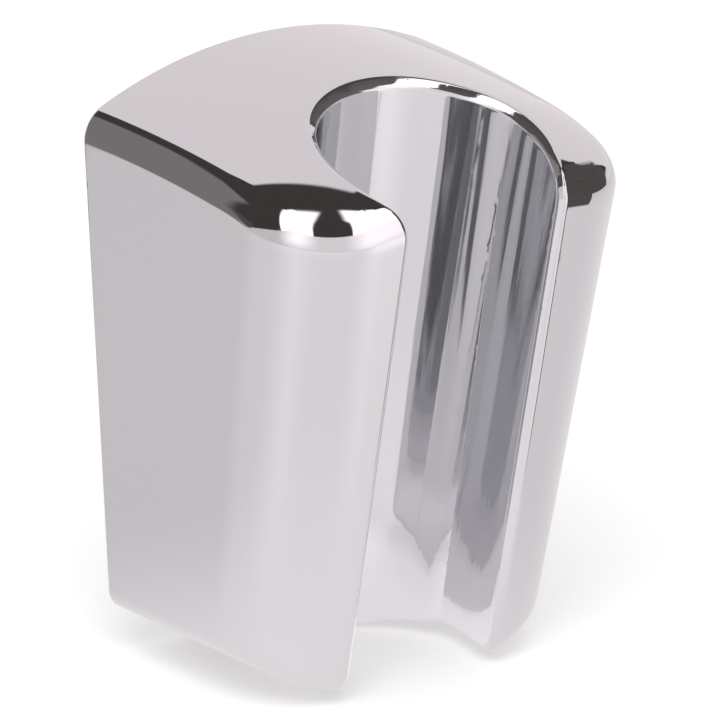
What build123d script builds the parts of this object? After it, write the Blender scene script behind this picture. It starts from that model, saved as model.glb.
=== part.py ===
from build123d import *
from math import asin, cos, radians, sin, tan
import os

os.makedirs("parts", exist_ok=True)

# Hand shower holder: a plated shell with a tapered socket, open at the front, on a hidden wall bracket.
# Millimetres. The wall is the plane y = 0, the holder reaches out to -Y and +Z is up.
# z = 0 lies half way up the shell, and a reach is a distance out from the wall.

# Shell outside
body_width = 44.4  # across the two sides at half height
side_lean = 3.1  # each side leans out towards the top, degrees
crown_height = 33.4  # top of the shell above half height
crown_radius = 53.0  # arch of the top, seen from the front
crown_sweep = 208.0  # arch of the top, seen from the side, it falls towards the front
crown_start = 4.7  # that arch is level this far behind the wall
roll_reach = 24.0  # from here on the crown rolls over towards the front
roll_radius = 38.0
keel_depth = 33.4  # lowest line of the underside below half height
keel_radius = 38.0  # arch of the underside, seen from the front
front_reach = 35.7  # middle of the front at half height
front_lean = 11.7  # the front leans out towards the top, degrees
front_bow = 150.0  # radius of the front, seen from above
corner_radius = 9.5  # upright corners between sides and front
top_round = 4.2
bottom_round = 2.5

# Socket for the cone of the hand shower
rim_radius = 12.6  # socket radius in its rim plane
rim_reach = 31.1  # where the socket axis crosses the rim plane
rim_height = 29.3
socket_lean = 11.0  # the axis leans out towards the top, degrees
socket_taper = 2.4  # half angle of the cone, degrees
slot_width = 18.8
throat_round = 3.0  # between the cone and the walls of the slot
mouth_round = 1.3  # rim of the socket and lips of the slot

# Shell inside
wall = 2.6
socket_wall = 2.4

# Wall bracket, a plate that the shell hangs on
bracket_width = 26.0
bracket_height = 40.0
bracket_thickness = 4.0
bracket_top = 16.0
bracket_hook = 1.5  # its top edge falls by this towards the wall, so the shell can't tip off
bracket_corner = 3.0
screw_spacing = 24.0
screw_hole = 4.8

# Frame inside the shell that takes the bracket
bracket_clearance = 0.15  # on each side of the bracket
frame_setback = 0.6  # the frame stops short of the wall
frame_height = 30.0  # of its two sides
hanger_height = 3.5  # of the rib above the bracket

# Locking screw, turned in from below against the bottom edge of the bracket
lock_diameter = 4.0
lock_recess = 1.4  # it ends this far inside the underside
lock_clearance = 0.05
lock_chamfer = 0.4
lock_key = 2.0  # across the flats of its hexagon
lock_key_depth = 2.5
lock_reach = 3.8
boss_width = 9.0
boss_reach = 7.5
boss_gap = 2.0  # between the boss and the bracket above it

form_span = 45.0  # half height of the shell form before its top and underside are cut
depth_span = 70.0  # longer than the holder reaches
socket_above = 14.0  # the socket form ends this far above its rim plane
socket_margin = 2.0  # and this far below the underside

bracket_bottom = bracket_top - bracket_height
lock_length = keel_depth + bracket_bottom - lock_recess
screw_middle = (bracket_top + bracket_bottom) / 2
socket_below = (rim_height + keel_depth + socket_margin) / cos(radians(socket_lean))
rim_plane = Plane(
    origin=(0, -rim_reach, rim_height),
    x_dir=(1, 0, 0),
    z_dir=(0, -sin(radians(socket_lean)), cos(radians(socket_lean))),
)

roll_turn = asin((roll_reach + crown_start) / crown_sweep)
roll_drop = crown_sweep - roll_radius
roll_plane = Plane(
    origin=(
        0,
        crown_start - roll_drop * sin(roll_turn),
        crown_height - crown_sweep + roll_drop * cos(roll_turn),
    ),
    x_dir=(1, 0, 0),
    z_dir=(0, -cos(roll_turn), -sin(roll_turn)),
)

def plan_at(height, inset):
    # the shell seen from above at one height, set in by a wall where it is the inside
    half = body_width / 2 + tan(radians(side_lean)) * height - inset
    reach = front_reach + tan(radians(front_lean)) * height - inset
    with BuildSketch(Plane.XY.offset(height)) as plan:
        with Locations((0, -reach / 2)):
            Rectangle(2 * half, reach)
        with Locations((0, -reach + front_bow)):
            Circle(front_bow, mode=Mode.INTERSECT)
        fillet(plan.vertices().group_by(Axis.Y)[0], corner_radius - inset)
    return plan.sketch

def crown_form(inset):
    # all that lies under the crown: its long arch, the roll over at the front, and the lower half
    with BuildPart() as form:
        with Locations(Location((0, crown_start, crown_height - crown_sweep), (0, 90, 0))):
            Torus(crown_sweep - crown_radius, crown_radius - inset)
        with BuildSketch(roll_plane):
            Rectangle(4 * crown_sweep, 4 * crown_sweep)
        extrude(amount=4 * crown_sweep, mode=Mode.SUBTRACT)
        with BuildSketch(roll_plane):
            with Locations((0, roll_radius - crown_radius)):
                Circle(crown_radius - inset)
            Rectangle(
                2 * crown_radius,
                2 * crown_radius,
                align=(Align.CENTER, Align.MIN),
                mode=Mode.INTERSECT,
            )
        revolve(axis=Axis(roll_plane.origin, (1, 0, 0)), revolution_arc=90)
        Box(
            2 * body_width,
            2 * depth_span,
            2 * form_span,
            align=(Align.CENTER, Align.CENTER, Align.MAX),
        )
    return form.part

def shell_form(inset):
    # plans joined from bottom to top, then cut to the arch of the crown and of the keel
    with BuildPart() as form:
        loft([plan_at(-form_span, inset), plan_at(form_span, inset)], ruled=True)
        add(crown_form(inset), mode=Mode.INTERSECT)
        with BuildSketch(Plane.XZ):
            with Locations((0, keel_radius - keel_depth)):
                Circle(keel_radius - inset)
                Rectangle(2 * keel_radius, 2 * keel_radius, align=(Align.CENTER, Align.MIN))
        extrude(amount=depth_span, mode=Mode.INTERSECT)
    return form.part

def keyhole_at(along, extra):
    # the socket and its slot across the axis, grown by a wall where it is the tube around them
    half = slot_width / 2 + extra
    with BuildSketch(rim_plane.offset(along)) as keyhole:
        Circle(rim_radius + tan(radians(socket_taper)) * along + extra)
        Rectangle(2 * half, depth_span, align=(Align.CENTER, Align.MAX))
        corners = keyhole.vertices().filter_by(
            lambda v: rim_plane.to_local_coords(v).Y > -depth_span / 2
        )
        fillet(corners.filter_by(lambda v: abs(abs(v.X) - half) < 0.01), throat_round)
    return keyhole.sketch

def socket_form(extra):
    with BuildPart() as form:
        loft([keyhole_at(-socket_below, extra), keyhole_at(socket_above, extra)], ruled=True)
    return form.part

def bracket_form(clearance, bottom):
    # the plate with its hooked top edge, or the room for it where it has a clearance
    with BuildPart() as form:
        with BuildSketch(Plane.YZ):
            with BuildLine():
                Polyline(
                    (0, bottom),
                    (-bracket_thickness, bottom),
                    (-bracket_thickness, bracket_top),
                    (0, bracket_top - bracket_hook),
                    close=True,
                )
            make_face()
        extrude(amount=bracket_width / 2 + clearance, both=True)
    return form.part

with BuildPart() as cavity:
    add(shell_form(wall))
    add(socket_form(socket_wall), mode=Mode.SUBTRACT)

with BuildPart() as inside:
    # frame round the bracket and boss of the locking screw, both joined to the shell
    with BuildSketch(Plane.XZ.offset(frame_setback)):
        with Locations((0, bracket_top + hanger_height)):
            Rectangle(body_width, frame_height + hanger_height, align=(Align.CENTER, Align.MAX))
    extrude(amount=bracket_thickness - frame_setback)
    add(bracket_form(bracket_clearance, bracket_bottom), mode=Mode.SUBTRACT)
    with Locations((0, -frame_setback, bracket_bottom - boss_gap)):
        Box(
            boss_width,
            boss_reach - frame_setback,
            keel_depth,
            align=(Align.CENTER, Align.MAX, Align.MAX),
        )
    add(shell_form(wall / 2), mode=Mode.INTERSECT)
    add(socket_form(socket_wall / 2), mode=Mode.SUBTRACT)

with BuildPart() as holder_body:
    add(shell_form(0))
    free = holder_body.edges().filter_by(lambda e: e.center().Y < -0.01)
    level = free.filter_by(lambda e: abs(e.tangent_at(0.5).Z) < 0.6)
    fillet(level.filter_by(lambda e: e.center().Z > 0), top_round)
    free = holder_body.edges().filter_by(lambda e: e.center().Y < -0.01)
    level = free.filter_by(lambda e: abs(e.tangent_at(0.5).Z) < 0.6)
    fillet(level.filter_by(lambda e: e.center().Z < 0), bottom_round)
    add(socket_form(0), mode=Mode.SUBTRACT)
    mouth = holder_body.edges(Select.LAST).filter_by(GeomType.LINE, reverse=True)
    fillet(mouth, mouth_round)
    add(cavity.part, mode=Mode.SUBTRACT)
    add(inside.part)
    with Locations((0, -lock_reach, bracket_bottom - boss_gap)):
        Cylinder(
            lock_diameter / 2 + lock_clearance,
            2 * keel_depth,
            align=(Align.CENTER, Align.CENTER, Align.MAX),
            mode=Mode.SUBTRACT,
        )

with BuildPart() as wall_bracket:
    add(bracket_form(0, bracket_bottom))
    corners = wall_bracket.edges().filter_by(lambda e: abs(e.tangent_at(0.5).X) < 0.01)
    fillet(corners.filter_by(lambda e: abs(e.tangent_at(0.5).Y) > 0.5), bracket_corner)
    with Locations(Plane.XZ.offset(bracket_thickness / 2)):
        with Locations(
            (0, screw_middle - screw_spacing / 2),
            (0, screw_middle + screw_spacing / 2),
        ):
            Cylinder(screw_hole / 2, 2 * bracket_thickness, mode=Mode.SUBTRACT)

with BuildPart() as lock_screw:
    with Locations((0, -lock_reach, bracket_bottom)):
        Cylinder(lock_diameter / 2, lock_length, align=(Align.CENTER, Align.CENTER, Align.MAX))
    chamfer(lock_screw.edges().filter_by(GeomType.CIRCLE), lock_chamfer)
    with BuildSketch(Plane.XY.offset(bracket_bottom - lock_length)):
        with Locations((0, -lock_reach)):
            RegularPolygon(lock_key / 2, 6, major_radius=False)
    extrude(amount=lock_key_depth, mode=Mode.SUBTRACT)

holder_body.part.label = "holder_body"
wall_bracket.part.label = "wall_bracket"
lock_screw.part.label = "lock_screw"
export_step(holder_body.part, "parts/holder_body.step")
export_step(wall_bracket.part, "parts/wall_bracket.step")
export_step(lock_screw.part, "parts/lock_screw.step")
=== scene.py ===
import math

import bmesh
import bpy
import numpy as np
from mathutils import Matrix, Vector


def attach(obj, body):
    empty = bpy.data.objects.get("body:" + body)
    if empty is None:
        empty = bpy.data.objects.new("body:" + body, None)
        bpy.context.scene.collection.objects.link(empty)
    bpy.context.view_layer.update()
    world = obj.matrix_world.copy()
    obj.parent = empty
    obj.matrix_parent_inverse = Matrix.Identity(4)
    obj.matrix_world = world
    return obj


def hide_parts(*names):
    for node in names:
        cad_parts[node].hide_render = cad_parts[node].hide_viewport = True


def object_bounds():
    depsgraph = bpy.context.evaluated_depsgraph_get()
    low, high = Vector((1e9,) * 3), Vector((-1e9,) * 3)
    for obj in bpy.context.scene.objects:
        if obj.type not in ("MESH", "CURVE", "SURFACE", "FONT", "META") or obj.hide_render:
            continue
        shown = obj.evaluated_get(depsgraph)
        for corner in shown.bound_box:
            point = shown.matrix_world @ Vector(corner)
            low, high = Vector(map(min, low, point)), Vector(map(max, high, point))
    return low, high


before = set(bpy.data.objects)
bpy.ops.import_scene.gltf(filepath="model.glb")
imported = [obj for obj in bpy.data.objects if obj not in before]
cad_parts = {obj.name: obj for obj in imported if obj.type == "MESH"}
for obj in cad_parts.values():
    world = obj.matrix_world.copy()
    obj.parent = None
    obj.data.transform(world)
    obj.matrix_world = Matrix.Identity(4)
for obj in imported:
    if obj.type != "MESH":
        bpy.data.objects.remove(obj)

cadLow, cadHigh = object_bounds()
print("frame loaded with", ", ".join(sorted(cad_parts)))

mm = 0.001  # the forms below are written in millimetres
tiny = 1e-6  # keeps lengths off zero
mostLean = 0.9  # between two normals, so that a round stays finite


# Forms as distance fields: negative inside, so edges and corners get true radii

def roundMax(a, b, radius, lean=0.0):  # where both hold, edge rounded, lean is normal times normal
    across, down = a + radius, b + radius
    spread = (across ** 2 + down ** 2 - 2 * lean * across * down) / (1 - lean ** 2)
    rounded = (across > lean * down) & (down > lean * across)
    return np.where(rounded, np.sqrt(np.maximum(spread, 0)) - radius, np.maximum(a, b))


def roundMin(a, b, radius):  # where either holds, inner corner filled
    corner = np.hypot(np.maximum(radius - a, 0), np.maximum(radius - b, 0))
    return np.maximum(np.minimum(a, b), radius) - corner


def slope(degrees):
    return math.tan(math.radians(degrees))


shell = {
    "halfWidth": 22.2,  # at half height
    "sideLean": 3.1,  # degrees, out towards the top
    "crownHeight": 33.4,
    "crownRadius": 53.0,  # arch seen from the front
    "crownSweep": 208.0,  # arch seen from the side
    "crownStart": 4.7,  # that arch is level this far behind the wall
    "rollReach": 24.0,  # from here the crown rolls over to the front
    "rollRadius": 38.0,
    "keelDepth": 33.4,
    "keelRadius": 38.0,
    "frontReach": 35.7,
    "frontLean": 11.7,  # degrees, out towards the top
    "frontBow": 150.0,  # radius seen from above
    "cornerRadius": 9.5,
    "topRound": 4.2,
    "bottomRound": 2.5,
    "wallEdge": 0.45,  # round of the edge that lies against the wall
    "wall": 2.6,
}

socket = {
    "rimRadius": 12.6,
    "rimReach": 31.1,  # out from the wall, where the axis crosses the rim
    "rimHeight": 29.3,
    "lean": 11.0,  # degrees, out towards the top
    "taper": 2.4,  # degrees, half angle of the cone
    "slotHalf": 9.4,
    "throatRound": 3.0,
    "mouthCut": 0.95,  # flat along the rim and the lips, measured from the corner that it takes off
    "mouthEdge": 0.9,  # rounds on both sides of that flat
    "finishFade": 1.3,  # the socket's finish ends this far off its wall
    "wall": 2.4,
}

fixing = {
    "bracketHalf": 13.15,  # bracket and its clearance
    "bracketTop": 16.0,
    "bracketHook": 1.5,  # fall of its top edge towards the wall
    "bracketThickness": 4.0,
    "setback": 0.6,  # frame and boss stop short of the wall
    "frameLow": -14.0,
    "frameHigh": 19.5,
    "bossHalf": 4.5,
    "bossReach": 7.5,
    "bossHigh": -26.0,
    "lockReach": 3.8,
    "lockRadius": 2.05,
    "edge": 0.45,
}


def planField(x, reach, z):
    # sides and front, with the level part of their normal
    s = shell
    sideTilt, frontTilt = math.radians(s["sideLean"]), math.radians(s["frontLean"])
    side = (np.abs(x) - s["halfWidth"] - math.tan(sideTilt) * z) * math.cos(sideTilt)
    bow = s["frontBow"] - np.sqrt(np.maximum(s["frontBow"] ** 2 - x ** 2, 0))
    front = (reach - s["frontReach"] - math.tan(frontTilt) * z + bow) * math.cos(frontTilt)
    across, out = side + s["cornerRadius"], front + s["cornerRadius"]
    corner = (across > 0) & (out > 0)
    length = np.maximum(np.hypot(across, out), tiny)
    sideShare = np.where(corner, across / length, side > front)
    frontShare = np.where(corner, out / length, side <= front)
    normal = (
        sideShare * math.cos(sideTilt),
        frontShare * math.cos(frontTilt),
        -sideShare * math.sin(sideTilt) - frontShare * math.sin(frontTilt),
    )
    return roundMax(side, front, s["cornerRadius"]), normal


def crownField(x, reach, z):
    # one arch about a far centre, then a tighter one that rolls over to the front
    s = shell
    hub = s["crownHeight"] - s["crownSweep"]
    turn = math.asin((s["rollReach"] + s["crownStart"]) / s["crownSweep"])
    drop = s["crownSweep"] - s["rollRadius"]
    rollHub, rollOut = hub + drop * math.cos(turn), drop * math.sin(turn) - s["crownStart"]
    rolls = (reach - rollOut) * math.cos(turn) > (z - rollHub) * math.sin(turn)
    out = np.where(rolls, reach - rollOut, reach + s["crownStart"])
    rise = np.where(rolls, z - rollHub, z - hub)
    swing = np.maximum(np.hypot(out, rise), tiny)
    bend = swing - np.where(rolls, s["rollRadius"], s["crownSweep"]) + s["crownRadius"]
    away = np.maximum(np.hypot(x, bend), tiny)
    normal = (np.abs(x) / away, bend / away * out / swing, bend / away * rise / swing)
    return away - s["crownRadius"], normal


def keelField(x, z):
    fall = np.minimum(z - shell["keelRadius"] + shell["keelDepth"], 0)
    away = np.maximum(np.hypot(x, fall), tiny)
    return away - shell["keelRadius"], (np.abs(x) / away, 0.0, fall / away)


def leanOf(one, other):
    return np.clip(sum(a * b for a, b in zip(one, other)), -mostLean, mostLean)


def socketField(x, reach, z):
    s = socket
    tilt = math.radians(s["lean"])
    out, up = reach - s["rimReach"], z - s["rimHeight"]
    along = out * math.sin(tilt) + up * math.cos(tilt)
    across = up * math.sin(tilt) - out * math.cos(tilt)  # towards the wall
    radius = s["rimRadius"] + slope(s["taper"]) * along
    cone = (np.hypot(x, across) - radius) * math.cos(math.radians(s["taper"]))
    slot = np.maximum(np.abs(x) - s["slotHalf"], across)
    return roundMin(cone, slot, s["throatRound"])


def hullField(x, reach, z, inset, topRound, bottomRound):
    # outside of the shell, or its inside where it is inset by the wall
    plan, planNormal = planField(x, reach, z)
    crown, crownNormal = crownField(x, reach, z)
    keel, keelNormal = keelField(x, z)
    hull = roundMax(plan + inset, crown + inset, topRound, leanOf(planNormal, crownNormal))
    return roundMax(hull, keel + inset, bottomRound, leanOf(planNormal, keelNormal))


def holderField(points):
    x, y, z = points[..., 0], points[..., 1], points[..., 2]
    reach = -y
    s, f = shell, fixing
    hull = hullField(x, reach, z, 0.0, s["topRound"], s["bottomRound"])
    outer = roundMax(hull, -reach, s["wallEdge"])
    hole = socketField(x, reach, z)
    # flat along the rim and the lips, half way between their faces
    diagonal = math.sqrt(0.5)
    flat = (outer - hole + socket["mouthCut"]) * diagonal
    body = roundMax(outer, flat, socket["mouthEdge"], diagonal)
    body = roundMax(body, -hole, socket["mouthEdge"], diagonal)
    # hollow behind, round the socket's own wall
    inner = hullField(x, reach, z, s["wall"], s["topRound"] - s["wall"], f["edge"])
    inner = roundMax(inner, socket["wall"] - hole, f["edge"])
    body = roundMax(body, -inner, f["edge"])
    # frame that hangs on the bracket
    plate = np.maximum(f["setback"] - reach, reach - f["bracketThickness"])
    plate = roundMax(plate, np.maximum(f["frameLow"] - z, z - f["frameHigh"]), f["edge"])
    top = f["bracketTop"] - f["bracketHook"] * (1 - reach / f["bracketThickness"])
    room = np.maximum(np.abs(x) - f["bracketHalf"], z - top)
    plate = roundMax(plate, -room, f["edge"] / 2)
    # boss of the locking screw
    boss = np.maximum(f["setback"] - reach, reach - f["bossReach"])
    boss = roundMax(boss, np.maximum(np.abs(x) - f["bossHalf"], z - f["bossHigh"]), f["edge"])
    added = np.maximum(np.minimum(plate, boss), hull + s["wall"] / 2)
    added = np.maximum(added, socket["wall"] / 2 - hole)
    body = roundMin(body, added, f["edge"])
    lock = np.hypot(x, reach - f["lockReach"]) - f["lockRadius"]
    lock = np.maximum(lock, z - f["bossHigh"] - f["lockRadius"])
    return roundMax(body, -lock, f["edge"] / 2)


def fieldNormals(field, points, reach=0.01):
    normals = np.empty_like(points)
    for axis in range(3):
        offset = np.zeros(3)
        offset[axis] = reach
        normals[:, axis] = field(points + offset) - field(points - offset)
    length = np.linalg.norm(normals, axis=1, keepdims=True)
    return normals / np.maximum(length, tiny)


def shellShares(points):  # 1 on the wall of the socket, and in the hollow behind
    place = points[:, 0], -points[:, 1], points[:, 2]
    hole = socketField(*place)
    deep = -hullField(*place, 0.0, shell["topRound"], shell["bottomRound"])
    return {
        "socketShare": np.clip(1 - np.abs(hole) / socket["finishFade"], 0, 1),
        "hollowShare": np.clip(np.minimum(deep, hole) / shell["wall"] * 2 - 1, 0, 1),
    }


skin = {
    "step": 0.8,  # mm between grid points
    "margin": 1.3,  # mm of grid beyond the part
    "passes": 3,  # rounds of splitting where the surface turns
    "turn": 3.5,  # degrees along one edge
    "hollowTurn": 20.0,  # the same in the hollow, which is seldom seen
    "settleRounds": 6,  # steps onto the true surface
}

cellCorners = [(i, j, k) for i in (0, 1) for j in (0, 1) for k in (0, 1)]
cellEdges = [
    (a, b) for a in cellCorners for b in cellCorners
    if sum(b) == sum(a) + 1 and all(q >= p for p, q in zip(a, b))
]


def skinField(field, low, high, step):
    # one point in each cell that the surface crosses, one quad for each grid edge it crosses
    grid = [np.arange(lo, hi + step, step) for lo, hi in zip(low, high)]
    values = field(np.stack(np.meshgrid(*grid, indexing="ij"), axis=-1))
    cells = [n - 1 for n in values.shape]

    def cornerValues(c):
        return values[tuple(slice(o, o + n) for o, n in zip(c, cells))]

    total = np.zeros(cells + [3])
    count = np.zeros(cells)
    for a, b in cellEdges:
        va, vb = cornerValues(a), cornerValues(b)
        crossed = (va < 0) != (vb < 0)
        share = np.where(crossed, va / np.where(crossed, va - vb, 1), 0)
        for axis in range(3):
            total[..., axis] += np.where(crossed, a[axis] + share * (b[axis] - a[axis]), 0)
        count += crossed
    used = count > 0
    number = np.full(cells, -1)
    number[used] = np.arange(used.sum())
    points = np.argwhere(used) + total[used] / count[used][:, None]
    points = np.array(low) + points * step
    points = settle(field, points, step / 2)

    inside = values < 0
    quads = []
    for axis in range(3):
        first = [slice(1, -1)] * 3
        second = [slice(1, -1)] * 3
        first[axis], second[axis] = slice(0, -1), slice(1, None)
        one, two = inside[tuple(first)], inside[tuple(second)]
        at = np.argwhere(one != two)
        leaves = one[one != two]
        base = at + 1
        base[:, axis] -= 1
        u, v = [(1, 2), (2, 0), (0, 1)][axis]
        ring = []
        for du, dv in ((-1, -1), (0, -1), (0, 0), (-1, 0)):
            cell = base.copy()
            cell[:, u] += du
            cell[:, v] += dv
            ring.append(number[tuple(cell.T)])
        ring = np.stack(ring, axis=1)
        quads.append(np.where(leaves[:, None], ring, ring[:, ::-1]))
    return points, np.concatenate(quads)


def settle(field, points, most):  # onto the true surface
    for _ in range(skin["settleRounds"]):
        move = fieldNormals(field, points) * field(points)[:, None]
        points = points - np.clip(move, -most, most)
    return points


def splitTurns(mesh, field):
    # shorter edges on rims and corners, so that mirrored lines stay clean
    for _ in range(skin["passes"]):
        bm = bmesh.new()
        bm.from_mesh(mesh)
        points = np.array([v.co for v in bm.verts]) / mm
        normals = fieldNormals(field, points)
        ends = np.array([[v.index for v in edge.verts] for edge in bm.edges])
        even = np.einsum("ij,ij->i", normals[ends[:, 0]], normals[ends[:, 1]])
        hollow = shellShares(points)["hollowShare"][ends].max(axis=1) > 0
        turned = even < np.cos(np.radians(np.where(hollow, skin["hollowTurn"], skin["turn"])))
        edges = [edge for edge, hit in zip(bm.edges, turned) if hit]
        bmesh.ops.subdivide_edges(bm, edges=edges, cuts=1, use_grid_fill=True)
        points = np.array([v.co for v in bm.verts]) / mm
        points = settle(field, points, skin["step"] / 4) * mm
        for vert, point in zip(bm.verts, points):
            vert.co = point
        bm.to_mesh(mesh)
        bm.free()


def makeShell():
    low = np.array(cadLow) / mm - skin["margin"]
    high = np.array(cadHigh) / mm + skin["margin"]
    low[0] = -high[0]  # the same grid on both halves
    points, quads = skinField(holderField, low, high, skin["step"])
    mesh = bpy.data.meshes.new("holderShell")
    mesh.from_pydata((points * mm).tolist(), [], quads.tolist())
    splitTurns(mesh, holderField)
    points = np.array([v.co for v in mesh.vertices]) / mm
    mesh.polygons.foreach_set("use_smooth", [True] * len(mesh.polygons))
    mesh.normals_split_custom_set_from_vertices(fieldNormals(holderField, points).tolist())
    for name, values in shellShares(points).items():
        mesh.attributes.new(name, "FLOAT", "POINT").data.foreach_set("value", values)
    mesh.update()
    piece = bpy.data.objects.new("holderShell", mesh)
    bpy.context.scene.collection.objects.link(piece)
    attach(piece, "root")
    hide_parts("holder_body")
    print("shell skinned:", len(mesh.vertices), "points,", len(mesh.polygons), "faces")
    return piece


# Shader nodes

white, black = (1.0, 1.0, 1.0, 1.0), (0.0, 0.0, 0.0, 1.0)


def link(tree, source, target):
    tree.links.new(source, target)


def mathNode(tree, operation, *values):
    node = tree.nodes.new("ShaderNodeMath")
    node.operation = operation
    for socketIn, value in zip(node.inputs, values):
        if isinstance(value, (int, float)):
            socketIn.default_value = value
        else:
            link(tree, value, socketIn)
    return node.outputs["Value"]


def softStep(tree, value, middle, soft, start, end):  # start below the middle, end above it
    step = tree.nodes.new("ShaderNodeMapRange")
    step.interpolation_type = "SMOOTHSTEP"
    step.inputs["From Min"].default_value = middle - soft
    step.inputs["From Max"].default_value = middle + soft
    step.inputs["To Min"].default_value = start
    step.inputs["To Max"].default_value = end
    link(tree, value, step.inputs["Value"])
    return step.outputs["Result"]


def mixNode(tree, share, first, second):
    mix = tree.nodes.new("ShaderNodeMix")
    mix.data_type = "RGBA"
    link(tree, share, mix.inputs["Factor"])
    for name, color in (("A", first), ("B", second)):
        socketIn = next(s for s in mix.inputs if s.name == name and s.type == "RGBA")
        if isinstance(color, tuple):
            socketIn.default_value = color
        else:
            link(tree, color, socketIn)
    return next(s for s in mix.outputs if s.type == "RGBA")


def turnNode(tree, x, y):  # degrees from the front towards the right
    front = mathNode(tree, "MULTIPLY", y, -1.0)
    return mathNode(tree, "DEGREES", mathNode(tree, "ARCTAN2", x, front))


def alongNode(tree, x, y, azimuth):  # how far towards an azimuth
    sine, cosine = math.sin(math.radians(azimuth)), math.cos(math.radians(azimuth))
    return mathNode(tree, "MULTIPLY_ADD", x, sine, mathNode(tree, "MULTIPLY", y, -cosine))


def spotNodes(tree, x, y, middle):  # azimuth and distance from a spot on the floor
    x = mathNode(tree, "SUBTRACT", x, middle[0])
    y = mathNode(tree, "SUBTRACT", y, middle[1])
    square = mathNode(tree, "MULTIPLY_ADD", x, x, mathNode(tree, "MULTIPLY", y, y))
    return turnNode(tree, x, y), mathNode(tree, "SQRT", square)


def apartNode(tree, turn, azimuth):  # degrees between two azimuths
    apart = mathNode(tree, "SUBTRACT", turn, azimuth)
    return mathNode(tree, "ABSOLUTE", mathNode(tree, "WRAP", apart, 180.0, -180.0))


def blendNode(tree, mask, light, target):  # the target where the mask is 1
    change = mathNode(tree, "SUBTRACT", target, light)
    return mathNode(tree, "MULTIPLY_ADD", mask, change, light)


# Materials

hazeNoise = {
    "detail": 5.0,
    "roughness": 0.55,
    "low": 0.3,  # most of the noise lies between these two
    "high": 0.7,
}


def makeHazeGroup():
    # slow and fine unevenness that polish, moulding and turning leave
    group = bpy.data.node_groups.new("surfaceHaze", "ShaderNodeTree")
    face = group.interface
    for name in ("Scale", "Low", "High"):
        face.new_socket(name, in_out="INPUT", socket_type="NodeSocketFloat")
    for name in ("Roughness", "Height"):
        face.new_socket(name, in_out="OUTPUT", socket_type="NodeSocketFloat")
    start = group.nodes.new("NodeGroupInput")
    end = group.nodes.new("NodeGroupOutput")
    place = group.nodes.new("ShaderNodeTexCoord")
    noise = group.nodes.new("ShaderNodeTexNoise")
    noise.inputs["Detail"].default_value = hazeNoise["detail"]
    noise.inputs["Roughness"].default_value = hazeNoise["roughness"]
    spread = group.nodes.new("ShaderNodeMapRange")
    spread.inputs["From Min"].default_value = hazeNoise["low"]
    spread.inputs["From Max"].default_value = hazeNoise["high"]
    link(group, place.outputs["Object"], noise.inputs["Vector"])
    link(group, start.outputs["Scale"], noise.inputs["Scale"])
    link(group, noise.outputs["Fac"], spread.inputs["Value"])
    link(group, start.outputs["Low"], spread.inputs["To Min"])
    link(group, start.outputs["High"], spread.inputs["To Max"])
    link(group, spread.outputs["Result"], end.inputs["Roughness"])
    link(group, noise.outputs["Fac"], end.inputs["Height"])
    return group


hazeGroup = makeHazeGroup()


def startMaterial(name, finish):
    material = bpy.data.materials.new(name)
    material.use_nodes = True
    tree = material.node_tree
    shader = next(n for n in tree.nodes if n.type == "BSDF_PRINCIPLED")
    haze = tree.nodes.new("ShaderNodeGroup")
    haze.node_tree = hazeGroup
    for entry, key in (("Scale", "grainScale"), ("Low", "roughLow"), ("High", "roughHigh")):
        haze.inputs[entry].default_value = finish[key]
    return material, tree, shader, haze


plating = {
    "color": (0.66, 0.655, 0.672, 1.0),
    "grainScale": 90.0,
    "roughLow": 0.015,
    "roughHigh": 0.045,
    "socketColor": (0.684, 0.684, 0.706, 1.0),
    "socketRough": 0.025,  # more inside the socket, which is less polished
    "socketDull": 0.08,
    "hollowRough": 0.3,  # and the hollow behind isn't polished
    "hollowDull": 0.6,
    "streakSize": (0.0014, 0.0014, 0.15),  # long along the socket
    "streakDetail": 2.0,
    "streakDepth": 0.00002,
}


def shareNode(tree, name):  # a share that the mesh keeps at its points
    share = tree.nodes.new("ShaderNodeAttribute")
    share.attribute_name = name
    return share.outputs["Fac"]


def makePlating():
    material, tree, shader, haze = startMaterial("polishedPlating", plating)
    inside, hollow = shareNode(tree, "socketShare"), shareNode(tree, "hollowShare")
    tone = mixNode(tree, inside, plating["color"], plating["socketColor"])
    link(tree, tone, shader.inputs["Base Color"])
    rough = haze.outputs["Roughness"]
    rough = mathNode(tree, "MULTIPLY_ADD", inside, plating["socketRough"], rough)
    rough = mathNode(tree, "MULTIPLY_ADD", hollow, plating["hollowRough"], rough)
    link(tree, rough, shader.inputs["Roughness"])
    metal = mathNode(tree, "MULTIPLY_ADD", inside, -plating["socketDull"], 1.0)
    metal = mathNode(tree, "MULTIPLY_ADD", hollow, -plating["hollowDull"], metal)
    link(tree, metal, shader.inputs["Metallic"])
    place = tree.nodes.new("ShaderNodeTexCoord")
    stretch = tree.nodes.new("ShaderNodeMapping")
    stretch.vector_type = "TEXTURE"
    stretch.inputs["Rotation"].default_value = (math.radians(socket["lean"]), 0.0, 0.0)
    stretch.inputs["Scale"].default_value = plating["streakSize"]
    streaks = tree.nodes.new("ShaderNodeTexNoise")
    streaks.inputs["Scale"].default_value = 1.0  # the mapping sets the size
    streaks.inputs["Detail"].default_value = plating["streakDetail"]
    bump = tree.nodes.new("ShaderNodeBump")
    bump.inputs["Distance"].default_value = plating["streakDepth"]
    link(tree, place.outputs["Object"], stretch.inputs["Vector"])
    link(tree, stretch.outputs["Vector"], streaks.inputs["Vector"])
    link(tree, streaks.outputs["Fac"], bump.inputs["Height"])
    link(tree, inside, bump.inputs["Strength"])
    link(tree, bump.outputs["Normal"], shader.inputs["Normal"])
    return material


bracketPlastic = {
    "color": (0.62, 0.62, 0.61, 1.0),
    "grainScale": 2600.0,
    "roughLow": 0.42,
    "roughHigh": 0.6,
    "grainDepth": 0.00004,
}

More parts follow.
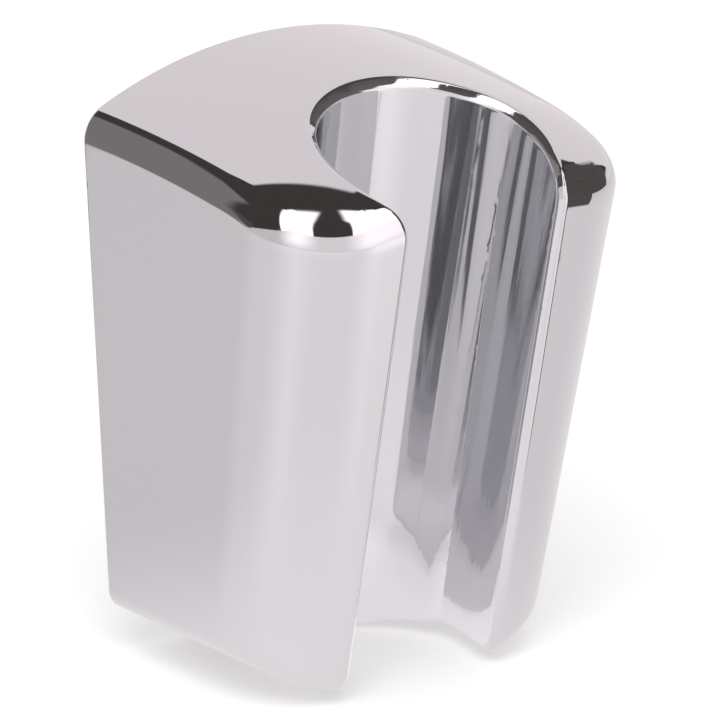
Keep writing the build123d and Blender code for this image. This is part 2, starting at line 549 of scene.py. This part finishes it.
screwSteel = {
    "color": (0.5, 0.5, 0.51, 1.0),
    "grainScale": 1500.0,
    "roughLow": 0.22,
    "roughHigh": 0.4,
    "grainDepth": 0.00002,
}


def makeGrained(name, finish, metallic):
    material, tree, shader, haze = startMaterial(name, finish)
    shader.inputs["Base Color"].default_value = finish["color"]
    shader.inputs["Metallic"].default_value = metallic
    link(tree, haze.outputs["Roughness"], shader.inputs["Roughness"])
    bump = tree.nodes.new("ShaderNodeBump")
    bump.inputs["Distance"].default_value = finish["grainDepth"]
    link(tree, haze.outputs["Height"], bump.inputs["Height"])
    link(tree, bump.outputs["Normal"], shader.inputs["Normal"])
    return material


def dressNode(node, material):
    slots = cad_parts[node].data.materials
    slots.clear()
    slots.append(material)


# Studio

studio = {
    "tint": (1.0, 0.94, 0.96, 1.0),  # of all that the plating mirrors
    "shadeTint": (1.0, 0.9, 0.87, 1.0),  # and of its dark parts
    "shadeLight": 0.3,  # light at which one tint passes into the other
    "shadeSoft": 0.25,
    "floorSize": 3.0,
    "floorColor": (0.92, 0.92, 0.92, 1.0),
    "floorRough": 0.9,
    "floorGlow": 0.30,  # lifts the floor to white for the camera alone
    "mirrorColor": (0.55, 0.535, 0.54, 1.0),  # the floor as the plating shows it
    "mirrorGlow": 0.40,
    "poolCentre": (-0.014, -0.024),  # floor pools are set out round this corner
    "fillLight": 0.62,  # what matt surfaces get from all round
    "tableLight": 0.95,  # pale sweep round the part, up to the next height
    "tableTop": 8.0,  # degrees above the horizon
    "ceilingLight": 0.06,
    "softEdge": 2.0,  # degrees
    "stripEdge": 0.012,  # heights of the ceiling
    "lowestRise": 0.05,  # strips are cut off where a ray rises less
}

# light and shade on the floor in the plating, azimuth from the front towards the right
pools = {  # degrees and metres
    "frontWide": {"azimuth": -25.0, "half": 60.0, "soft": 30.0, "light": 0.475},
    "leftPool": {"azimuth": -70.0, "half": 8.0, "soft": 22.0, "light": 0.61},
    "frontPool": {"azimuth": 20.0, "half": 14.0, "soft": 20.0, "light": 0.60},
    "frontFar": {
        "azimuth": 24.0, "half": 12.0, "soft": 14.0,
        "start": 0.14, "softStart": 0.12, "light": 0.92,
    },
    "rightSide": {"azimuth": 100.0, "half": 20.0, "soft": 20.0, "light": 0.46},
    "leftShade": {"azimuth": -172.0, "half": 40.0, "soft": 14.0, "light": 0.31},
}
nearPools = {  # light close to the part
    "front": {"place": studio["poolCentre"], "reach": 0.035, "soft": 0.03, "light": 0.62},
    "socket": {"place": (0.0, -0.018), "reach": 0.011, "soft": 0.004, "light": 0.85},
}
paintedWallShade = {  # painted shade on the floor, seen only in the plating, where a wall would stand; start is how far off, towards facing
    "left": {
        "azimuth": -142.5, "half": 14.5, "soft": 2.0,
        "facing": 142.4, "start": 0.036, "softStart": 0.004, "light": 0.25,
    },
    "right": {
        "azimuth": 52.0, "half": 12.0, "soft": 2.0,
        "facing": -27.0, "start": 0.0455, "softStart": 0.003, "light": 0.1,
    },
}

# what the plating mirrors above the floor, heights above the horizon, degrees
panels = {
    "leftWall": {
        "azimuth": -143.5, "half": 13.5, "low": -12.0, "high": 43.5, "light": 0.25,
    },
    "leftGap": {
        "azimuth": -126.0, "half": 5.0, "low": -3.0, "high": 14.0, "light": 0.1,
    },
    "leftLow": {
        "azimuth": -99.8, "half": 30.0, "slant": 1.235, "low": -12.0, "high": 43.0, "light": 0.77,
    },
    "frontSweep": {
        "azimuth": -28.0, "half": 52.0, "soft": 8.0, "low": -12.0, "high": 43.0, "light": 0.96,
    },
    "leftGlow": {
        "azimuth": -67.0, "half": 12.0, "soft": 12.0,
        "low": 8.0, "softLow": 18.0, "high": 43.0, "light": 1.6,
    },
    "frontGlow": {
        "azimuth": 9.0, "half": 17.0, "soft": 15.0,
        "low": -4.0, "softLow": 20.0, "high": 43.0, "light": 1.55,
    },
    "rightFlag": {
        "azimuth": 65.0, "half": 29.0, "slant": 0.8, "low": -11.0, "high": 21.5, "light": 0.1,
    },
    "rightTop": {
        "azimuth": 95.5, "half": 30.5, "soft": 0.8, "slant": -0.6,
        "low": 21.5, "softLow": 0.8, "high": 34.0, "light": 0.1,
    },
    "rimFlag": {
        "azimuth": 44.0, "half": 16.0, "low": 9.0, "high": 62.0, "light": 0.1,
    },
}

# lit parts of the ceiling, from start to end towards the azimuth, in heights of the ceiling
strips = {
    "backCeiling": {  # without an end to the back and the right
        "azimuth": 20.0, "offset": 40.245, "half": 40.0, "flare": 0.0,
        "start": -80.0, "slant": 0.04, "end": -0.075, "light": 0.94,
    },
    "leftStrip": {
        "azimuth": -62.0, "offset": -0.148, "half": 0.098, "flare": 0.235,
        "start": -0.1, "slant": 0.0, "end": 1.3, "light": 1.8,
    },
    "frontStrip": {
        "azimuth": 0.0, "offset": 0.25, "half": 0.16, "flare": 0.27,
        "start": -0.185, "slant": 1.05, "end": 1.6, "light": 1.8,
    },
}


def floorMirror(tree, x, y):
    # light that the plating finds on the floor, with painted shade where a wall would stand, and a
    # share that is 0 where that painted shade blacks the floor out
    turn, away = spotNodes(tree, x, y, studio["poolCentre"])
    light, unshadedShare = studio["mirrorGlow"], 1.0
    for pool in pools.values():
        apart = apartNode(tree, turn, pool["azimuth"])
        mask = softStep(tree, apart, pool["half"], pool["soft"], 1.0, 0.0)
        if "start" in pool:
            beyond = softStep(tree, away, pool["start"], pool["softStart"], 0.0, 1.0)
            mask = mathNode(tree, "MULTIPLY", mask, beyond)
        light = blendNode(tree, mask, light, pool["light"])
    for pool in nearPools.values():
        near = spotNodes(tree, x, y, pool["place"])[1]
        mask = softStep(tree, near, pool["reach"], pool["soft"], 1.0, 0.0)
        light = blendNode(tree, mask, light, pool["light"])
    # painted shade: the floor darkened in the plating where a wall would stand
    for shadePatch in paintedWallShade.values():
        apart = apartNode(tree, turn, shadePatch["azimuth"])
        along = alongNode(tree, x, y, shadePatch["facing"])
        beyond = softStep(tree, along, shadePatch["start"], shadePatch["softStart"], 0.0, 1.0)
        mask = softStep(tree, apart, shadePatch["half"], shadePatch["soft"], 1.0, 0.0)
        mask = mathNode(tree, "MULTIPLY", mask, beyond)
        light = blendNode(tree, mask, light, shadePatch["light"])
        unshadedShare = blendNode(tree, mask, unshadedShare, 0.0)
    return light, unshadedShare


def makeFloor():
    half = studio["floorSize"] / 2
    z = cadLow.z
    mesh = bpy.data.meshes.new("studioFloor")
    corners = [(-half, -half, z), (half, -half, z), (half, half, z), (-half, half, z)]
    mesh.from_pydata(corners, [], [(0, 1, 2, 3)])
    floor = bpy.data.objects.new("studioFloor", mesh)
    bpy.context.scene.collection.objects.link(floor)
    material = bpy.data.materials.new("paleFloor")
    material.use_nodes = True
    tree = material.node_tree
    shader = next(n for n in tree.nodes if n.type == "BSDF_PRINCIPLED")
    shader.inputs["Roughness"].default_value = studio["floorRough"]
    shader.inputs["Specular IOR Level"].default_value = 0.0
    place = tree.nodes.new("ShaderNodeNewGeometry")
    parts = tree.nodes.new("ShaderNodeSeparateXYZ")
    link(tree, place.outputs["Position"], parts.inputs["Vector"])
    light, unshadedShare = floorMirror(tree, parts.outputs["X"], parts.outputs["Y"])
    path = tree.nodes.new("ShaderNodeLightPath")
    glossy = path.outputs["Is Glossy Ray"]
    glow = mathNode(tree, "MULTIPLY", path.outputs["Is Camera Ray"], studio["floorGlow"])
    glow = mathNode(tree, "MULTIPLY_ADD", glossy, light, glow)
    link(tree, glow, shader.inputs["Emission Strength"])
    tint = mixNode(tree, glossy, white, studio["tint"])
    link(tree, tint, shader.inputs["Emission Color"])
    # painted shade: the floor's colour goes black in the plating where a wall would stand
    tone = mixNode(tree, unshadedShare, black, studio["mirrorColor"])
    tone = mixNode(tree, glossy, studio["floorColor"], tone)
    link(tree, tone, shader.inputs["Base Color"])
    mesh.materials.append(material)
    return floor


def panelMask(tree, turn, height, panel):  # slant moves a panel to the right with height
    soft = studio["softEdge"]
    if "slant" in panel:
        turn = mathNode(tree, "MULTIPLY_ADD", height, -panel["slant"], turn)
    apart = apartNode(tree, turn, panel["azimuth"])
    mask = softStep(tree, apart, panel["half"], panel.get("soft", soft), 1.0, 0.0)
    above = softStep(tree, height, panel["low"], panel.get("softLow", soft), 0.0, 1.0)
    below = softStep(tree, height, panel["high"], soft, 1.0, 0.0)
    return mathNode(tree, "MULTIPLY", mask, mathNode(tree, "MULTIPLY", above, below))


def stripMask(tree, x, y, z, strip):  # flare widens a strip on its way, slant tilts its ends
    soft = studio["stripEdge"]
    rise = mathNode(tree, "MAXIMUM", z, studio["lowestRise"])
    right, back = mathNode(tree, "DIVIDE", x, rise), mathNode(tree, "DIVIDE", y, rise)
    along = alongNode(tree, right, back, strip["azimuth"])
    across = alongNode(tree, right, back, strip["azimuth"] + 90.0)
    apart = mathNode(tree, "ABSOLUTE", mathNode(tree, "SUBTRACT", across, strip["offset"]))
    apart = mathNode(tree, "MULTIPLY_ADD", along, -strip["flare"], apart)
    mask = softStep(tree, apart, strip["half"], soft, 1.0, 0.0)
    reach = mathNode(tree, "MULTIPLY_ADD", across, -strip["slant"], along)
    after = softStep(tree, reach, strip["start"], soft, 0.0, 1.0)
    before = softStep(tree, reach, strip["end"], soft, 1.0, 0.0)
    return mathNode(tree, "MULTIPLY", mask, mathNode(tree, "MULTIPLY", after, before))


def makeWorld():
    world = bpy.data.worlds.new("studioWorld")
    world.use_nodes = True
    bpy.context.scene.world = world
    tree = world.node_tree
    back = next(n for n in tree.nodes if n.type == "BACKGROUND")
    place = tree.nodes.new("ShaderNodeTexCoord")
    parts = tree.nodes.new("ShaderNodeSeparateXYZ")
    link(tree, place.outputs["Generated"], parts.inputs["Vector"])
    x, y, z = (parts.outputs[name] for name in "XYZ")
    height = mathNode(tree, "DEGREES", mathNode(tree, "ARCSINE", z))
    turn = turnNode(tree, x, y)
    light = softStep(
        tree, height, studio["tableTop"], studio["softEdge"],
        studio["tableLight"], studio["ceilingLight"],
    )
    for strip in strips.values():
        light = blendNode(tree, stripMask(tree, x, y, z, strip), light, strip["light"])
    for panel in panels.values():
        light = blendNode(tree, panelMask(tree, turn, height, panel), light, panel["light"])
    path = tree.nodes.new("ShaderNodeLightPath")
    glossy = path.outputs["Is Glossy Ray"]
    choose = tree.nodes.new("ShaderNodeMix")
    choose.inputs["A"].default_value = studio["fillLight"]
    link(tree, glossy, choose.inputs["Factor"])
    link(tree, light, choose.inputs["B"])
    link(tree, choose.outputs["Result"], back.inputs["Strength"])
    bright = softStep(tree, light, studio["shadeLight"], studio["shadeSoft"], 0.0, 1.0)
    tint = mixNode(tree, bright, studio["shadeTint"], studio["tint"])
    link(tree, mixNode(tree, glossy, white, tint), back.inputs["Color"])
    return world


keyLamp = {
    "place": (-0.5, -0.6, 0.9),
    "target": (0.0, 0.0, 0.0),
    "size": 0.7,
    "power": 6.0,
}


def makeLamp(name, values):
    lamp = bpy.data.lights.new(name, "AREA")
    lamp.shape = "RECTANGLE"
    lamp.size = lamp.size_y = values["size"]
    lamp.energy = values["power"]
    holder = bpy.data.objects.new(name, lamp)
    holder.location = values["place"]
    look = Vector(values["target"]) - Vector(values["place"])
    holder.rotation_mode = "QUATERNION"
    holder.rotation_quaternion = look.to_track_quat("-Z", "Y")
    holder.visible_glossy = False  # the plating mirrors the studio alone
    bpy.context.scene.collection.objects.link(holder)
    return holder


view = {
    "azimuth": -36.70,  # towards the left of the front
    "elevation": 19.01,
    "distance": 1.091,
    "lens": 507.0,
    "sensor": 36.0,
    "aim": (0.0, 0.0, -0.0165),  # point that the next offsets start from
    "aimRight": 94.3,  # pixels of the 710 pixel frame, from that point to its centre
    "aimUp": 113.7,
    "framePixels": 710.0,
}


def makeCamera():
    v = view
    turn, rise = math.radians(v["azimuth"]), math.radians(v["elevation"])
    back = Vector((
        math.sin(turn) * math.cos(rise),
        -math.cos(turn) * math.cos(rise),
        math.sin(rise),
    ))
    right = Vector((math.cos(turn), math.sin(turn), 0.0))
    up = back.cross(right)
    camera = bpy.data.cameras.new("photoCamera")
    camera.sensor_width = v["sensor"]
    camera.lens = v["lens"]
    pixel = camera.sensor_width / v["framePixels"] / camera.lens
    look = -back + right * (v["aimRight"] * pixel) + up * (v["aimUp"] * pixel)
    holder = bpy.data.objects.new("photoCamera", camera)
    holder.location = Vector(v["aim"]) + back * v["distance"]
    holder.rotation_mode = "QUATERNION"
    holder.rotation_quaternion = look.to_track_quat("-Z", "Y")
    bpy.context.scene.collection.objects.link(holder)
    bpy.context.scene.camera = holder
    return holder


holderShell = makeShell()
holderShell.data.materials.append(makePlating())
dressNode("wall_bracket", makeGrained("mouldedPlastic", bracketPlastic, 0.0))
dressNode("lock_screw", makeGrained("plainSteel", screwSteel, 1.0))
print("finishes set")

makeFloor()
makeWorld()
makeLamp("softKey", keyLamp)
makeCamera()
bpy.context.scene.view_settings.view_transform = "Standard"
print("studio set")
